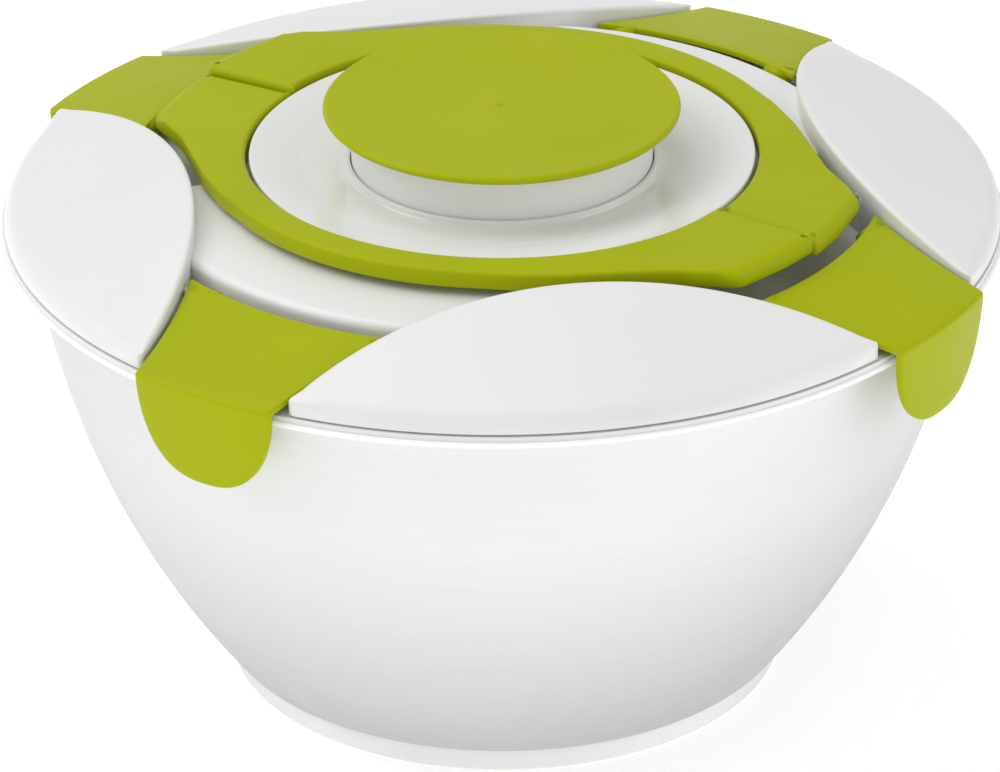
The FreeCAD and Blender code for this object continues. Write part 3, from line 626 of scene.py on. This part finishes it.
def make_spring():
    """Coil under the collar. The real coil shortens as the knob goes down; this one moves with
    the knob unchanged.
    """
    low, high = (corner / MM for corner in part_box("return_spring"))
    per_turn, sides = 36, 12
    rise = high.z - low.z - 2 * COIL_WIRE
    steps = int(rise / COIL_PITCH * per_turn)
    vertices = []
    for step in range(steps + 1):
        angle = 2 * math.pi * step / per_turn
        height = low.z + COIL_WIRE + rise * step / steps
        for side in range(sides):
            around = 2 * math.pi * side / sides
            radius = COIL_RADIUS + COIL_WIRE * math.cos(around)
            vertices.append((radius * math.cos(angle), radius * math.sin(angle),
                             height + COIL_WIRE * math.sin(around)))
    faces = [(a + k, a + (k + 1) % sides, a + sides + (k + 1) % sides, a + sides + k)
             for a in range(0, steps * sides, sides) for k in range(sides)]
    faces.append(tuple(range(sides)))
    faces.append(tuple(range((steps + 1) * sides - 1, steps * sides - 1, -1)))
    piece = finish_mesh("spring_coil", vertices, faces, "knob", STEEL)
    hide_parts("return_spring")
    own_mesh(piece)


# -------------------------------------------------------------------- the handle


def ring_top(x):
    """Arched top of the front half: low at -X, high at +X."""
    centre_height, arch, tilt = 151.08, 2600.0, 1 / 104.0
    return centre_height - x * x / (2 * arch) + x * tilt


def handle_outline():
    """Front half of the ring in plan, anticlockwise from its left lobe's split corner."""
    split_y, lobe = -0.35, 99.3
    outer = [(-lobe, split_y, 1.2), (-98.4, -13, 40), (-94.8, -30.0, 2.2), (-87.5, -34.2, 10),
             (-79.0, -39.2, 14), (-58.0, -57.2, 26), (-46.5, -65.0, 30)]
    bow = arc((0, 0), 78.9, -119, -61, 40)
    corners = outer + [(p.x, p.y, 0) for p in bow]
    corners += [(-x, y, r) for x, y, r in outer[::-1]]
    gap = arc((0, 0), RING_INNER, -0.3, -179.7, 90)
    corners += [(p.x, p.y, 0) for p in gap]
    return corners


def handle_edge(point):
    """Rounded ends at the split and the lobes, a slimmer edge elsewhere."""
    from_split = max(0.0, min(1.0, (-point.y - 0.3) / 3.0))
    lobe = max(0.0, min(1.0, (point.length - 95.5) / 2.5))
    plain, lobe_extra = 1.1, 1.9
    split_round, split_fall = 2.8, 1.4
    edge = plain + lobe_extra * lobe
    if abs(point.x) > RING_INNER and from_split < 1.0:
        edge = max(edge, split_round - split_fall * from_split)
    return edge


def make_handle(name, node, angle):
    """One half of the ring with a hinge barrel under each lobe."""
    outline = even_spacing(round_corners(handle_outline()), 1.2)
    plate = plate_mesh(
        outline, handle_edge, lambda p: RING_DEPTH,
        lambda u, v, h: (u, v, ring_top(u) + h),
        spaced(-99, 99, 3.5), spaced(-79, -0.4, 3.5), foot=0.8)
    meshes = [plate]
    for side in (-1, 1):
        meshes.append(rod((side * BARREL_START, -HINGE_Y, HINGE_Z), side * BARREL_LENGTH,
                          BARREL_RADIUS))
    vertices, faces = joined(*meshes)
    piece = finish_mesh(name, spun(vertices, angle), faces, node, LIME)
    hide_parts(node)


# ------------------------------------------------------------------- the latches

# PLATE_RUN is measured along the slope, from the inner edge to the fold.
PLATE_RUN = 36.38
FOLD_RADIUS = 1.5
LATCH_THICKNESS = 1.8
TONGUE_RUN = 25.2
KNUCKLE_START, KNUCKLE_LENGTH, KNUCKLE_RADIUS = 22.0, 8.0, 2.6
INNER_R, FOLD_R = 103.0, 140.0
INNER_Z, FOLD_Z = 142.35, 135.25
LATCH_HINGE_R, LATCH_HINGE_Z = 101.0, 139.6
TONGUE_Z, TONGUE_R = 108.0, 138.4


def latch_path(run):
    """(radius, height, outward normal) along the latch's section, from its inner edge."""
    slope = math.atan2(INNER_Z - FOLD_Z, FOLD_R - INNER_R)
    lean = math.atan2(FOLD_R - TONGUE_R, FOLD_Z - TONGUE_Z)
    top = Vector((math.cos(slope), -math.sin(slope)))
    down = Vector((-math.sin(lean), -math.cos(lean)))
    bend = math.acos(top.dot(down))
    bend_run = FOLD_RADIUS * bend
    if run <= PLATE_RUN:
        at = Vector((INNER_R, INNER_Z)) + top * run
        return at.x, at.y, Vector((math.sin(slope), math.cos(slope)))
    start = Vector((INNER_R, INNER_Z)) + top * PLATE_RUN
    centre = start - Vector((math.sin(slope), math.cos(slope))) * FOLD_RADIUS
    angle = min(run - PLATE_RUN, bend_run) / FOLD_RADIUS
    lift = math.pi / 2 - slope - angle
    out = Vector((math.cos(lift), math.sin(lift)))
    at = centre + out * FOLD_RADIUS
    if run > PLATE_RUN + bend_run:
        at += down * (run - PLATE_RUN - bend_run)
    return at.x, at.y, out


def channel_half(radius):
    """Half width of the channel between two petals, less the latch's gap."""
    centre = PETAL_CENTRE * math.sqrt(0.5)
    return centre - math.sqrt((PETAL_ARC + 1.2) ** 2 - (radius - centre) ** 2)


def latch_place(u, v, h):
    """u runs along the section, v across; the plate curves about the lid's axis."""
    radius, height, out = latch_path(u)
    radius += out.x * h
    height += out.y * h
    x = math.sqrt(max(radius ** 2 - v ** 2, 0.0))
    return x, v, height


def latch_outline():
    """Plan of the flattened latch: waisted plate, then a round tongue."""
    corner, tongue_shape = 2.5, 0.78
    run_end = PLATE_RUN + FOLD_RADIUS * 1.5 + TONGUE_RUN
    side = []
    for k in range(25):
        run = PLATE_RUN * k / 24
        radius, _, _ = latch_path(run)
        x = radius
        half = channel_half(x)
        for _ in range(12):
            x = math.sqrt(radius ** 2 - half ** 2)
            half = channel_half(x)
        side.append((run, half))
    corners = [(u, -v, corner if k == 0 else 0) for k, (u, v) in enumerate(side)]
    fold_half = side[-1][1]
    tongue = []
    start = PLATE_RUN + 2.0
    depth = run_end - start
    for k in range(1, 40):
        a = math.pi / 2 * k / 40
        along = start + depth * math.sin(a)
        tongue.append((along, fold_half * math.cos(a) ** tongue_shape))
    corners += [(u, -v, 0) for u, v in tongue]
    corners += [(run_end, 0, 0)]
    corners += [(u, v, 0) for u, v in tongue[::-1]]
    corners += [(u, v, 0 if k else corner) for k, (u, v) in reversed(list(enumerate(side)))]
    return even_spacing(round_corners(corners), 0.9)


def make_latch(name, angle):
    """Folded latch with a hinge knuckle on each side."""
    outline = latch_outline()
    rows = spaced(0, PLATE_RUN, 3.2) + spaced(PLATE_RUN, PLATE_RUN + 2.4, 0.35)[1:]
    rows += spaced(PLATE_RUN + 2.4, PLATE_RUN + 30, 3.0)[1:]
    plate = plate_mesh(outline, lambda p: 0.45, lambda p: LATCH_THICKNESS, latch_place,
                       rows, spaced(-40, 40, 3.0), foot=0.3, steps=3)
    meshes = [plate]
    for side in (-1, 1):
        barrel, barrel_faces = rod((KNUCKLE_START, 0, 0), KNUCKLE_LENGTH, KNUCKLE_RADIUS)
        meshes.append(([(LATCH_HINGE_R + y, side * x, LATCH_HINGE_Z + z)
                        for x, y, z in barrel], barrel_faces))
    vertices, faces = joined(*meshes)
    piece = finish_mesh("latch_shell_" + name, spun(vertices, angle), faces,
                        "latch_" + name, LIME)
    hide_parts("latch_" + name)


# -------------------------------------------------------- CAD nodes that stay shown


def dress_nodes():
    """Give every CAD node that stays visible its own material."""
    finishes = {
        "lime_plastic": LIME, "white_plastic": WHITE, "white_gloss": GLOSS,
        "frosted_bowl": FROST, "foot_rubber": RUBBER, "inner_plastic": INNER,
        "basket_plastic": INNER, "seal_silicone": SEAL, "steel": STEEL,
    }
    for row in frame["record"]["subparts"]:
        node = frame["nodes"][row["node"]]
        node.data.materials.clear()
        node.data.materials.append(finishes[row["material_slot"]])


# ---------------------------------------------------------------- light and camera


def make_floor():
    """Pale paper floor that glows a little, so that it stays white in the shade."""
    mesh = bpy.data.meshes.new("floor")
    reach = 12.0
    mesh.from_pydata([(-reach, -reach, 0), (reach, -reach, 0), (reach, reach, 0),
                      (-reach, reach, 0)], [], [(0, 1, 2, 3)])
    floor = bpy.data.objects.new("floor", mesh)
    bpy.context.scene.collection.objects.link(floor)
    material, tree, shader = new_material(
        "floor_paper", (0.96, 0.96, 0.96), 0.8, Emission_Strength=0.31)
    shader.inputs["Emission Color"].default_value = (1, 1, 1, 1)
    bump(tree, shader, noise(tree, position(tree), 300, 3), 0.05, 0.0002)
    mesh.materials.append(material)


def area_light(name, place, aim, size, power):
    """Square softbox that points at a place; size in metres, power in watts."""
    light = bpy.data.lights.new(name, "AREA")
    light.shape = "RECTANGLE"
    light.size = light.size_y = size
    light.energy = power
    lamp = bpy.data.objects.new(name, light)
    lamp.location = place
    lamp.rotation_euler = (Vector(aim) - Vector(place)).to_track_quat("-Z", "Y").to_euler()
    bpy.context.scene.collection.objects.link(lamp)


CAMERA_AZIMUTH = math.radians(34.0)
CAMERA_PITCH = math.radians(27.255)
CAMERA_ROLL = math.radians(-0.422)
CAMERA_DISTANCE = 1.763
CAMERA_TARGET = Vector((0, 0, 0.0774))


def camera_axes():
    """Right, up and back directions of the level camera."""
    back = Vector((math.sin(CAMERA_AZIMUTH) * math.cos(CAMERA_PITCH),
                   -math.cos(CAMERA_AZIMUTH) * math.cos(CAMERA_PITCH),
                   math.sin(CAMERA_PITCH)))
    right = Vector((math.cos(CAMERA_AZIMUTH), math.sin(CAMERA_AZIMUTH), 0))
    return right, back.cross(right), back


def make_camera():
    """Long lens, looking down from the front right."""
    right, up, back = camera_axes()
    turned = right * math.cos(CAMERA_ROLL) + up * math.sin(CAMERA_ROLL)
    lifted = up * math.cos(CAMERA_ROLL) - right * math.sin(CAMERA_ROLL)
    lens = bpy.data.cameras.new("camera")
    lens.sensor_width = 36.0
    lens.lens = 230.4
    lens.shift_x = -0.0038
    lens.clip_end = 50
    camera = bpy.data.objects.new("camera", lens)
    place = CAMERA_TARGET + back * CAMERA_DISTANCE
    camera.matrix_world = Matrix((
        (turned.x, lifted.x, back.x, place.x),
        (turned.y, lifted.y, back.y, place.y),
        (turned.z, lifted.z, back.z, place.z),
        (0, 0, 0, 1)))
    bpy.context.scene.collection.objects.link(camera)
    bpy.context.scene.camera = camera


def make_light():
    """Overhead softbox, one on each side, a weak one in front, and white surroundings."""
    right, _, back = camera_axes()
    centre = Vector((0, 0, 0.1))
    level = Vector((back.x, back.y, 0)).normalized()
    area_light("overhead", centre + Vector((0, 0, 1.6)) - level * 0.4 - right * 0.5, centre,
               1.2, 8)
    area_light("right_box", centre + right * 1.5 + level * 0.45 + Vector((0, 0, 0.6)), centre,
               1.1, 5.5)
    area_light("left_box", centre - right * 1.2 + level * 0.1 + Vector((0, 0, 1.1)), centre,
               0.9, 7.5)
    area_light("front_box", centre + level * 1.9 + Vector((0, 0, 0.35)), centre, 0.9, 3)
    world = bpy.data.worlds.new("studio")
    world.use_nodes = True
    world.node_tree.nodes["Background"].inputs["Color"].default_value = (1, 1, 1, 1)
    world.node_tree.nodes["Background"].inputs["Strength"].default_value = 0.55
    bpy.context.scene.world = world
    bpy.context.scene.view_settings.view_transform = "Standard"


dress_nodes()
make_bowl()
make_foot()
make_cover()
make_dish()
make_knob()
make_spring()
make_handle("handle_half_front", "handle_front", 0)
make_handle("handle_half_rear", "handle_rear", 180)
for latch_name, latch_angle in QUARTERS.items():
    make_latch(latch_name, latch_angle)
make_floor()
make_light()
make_camera()
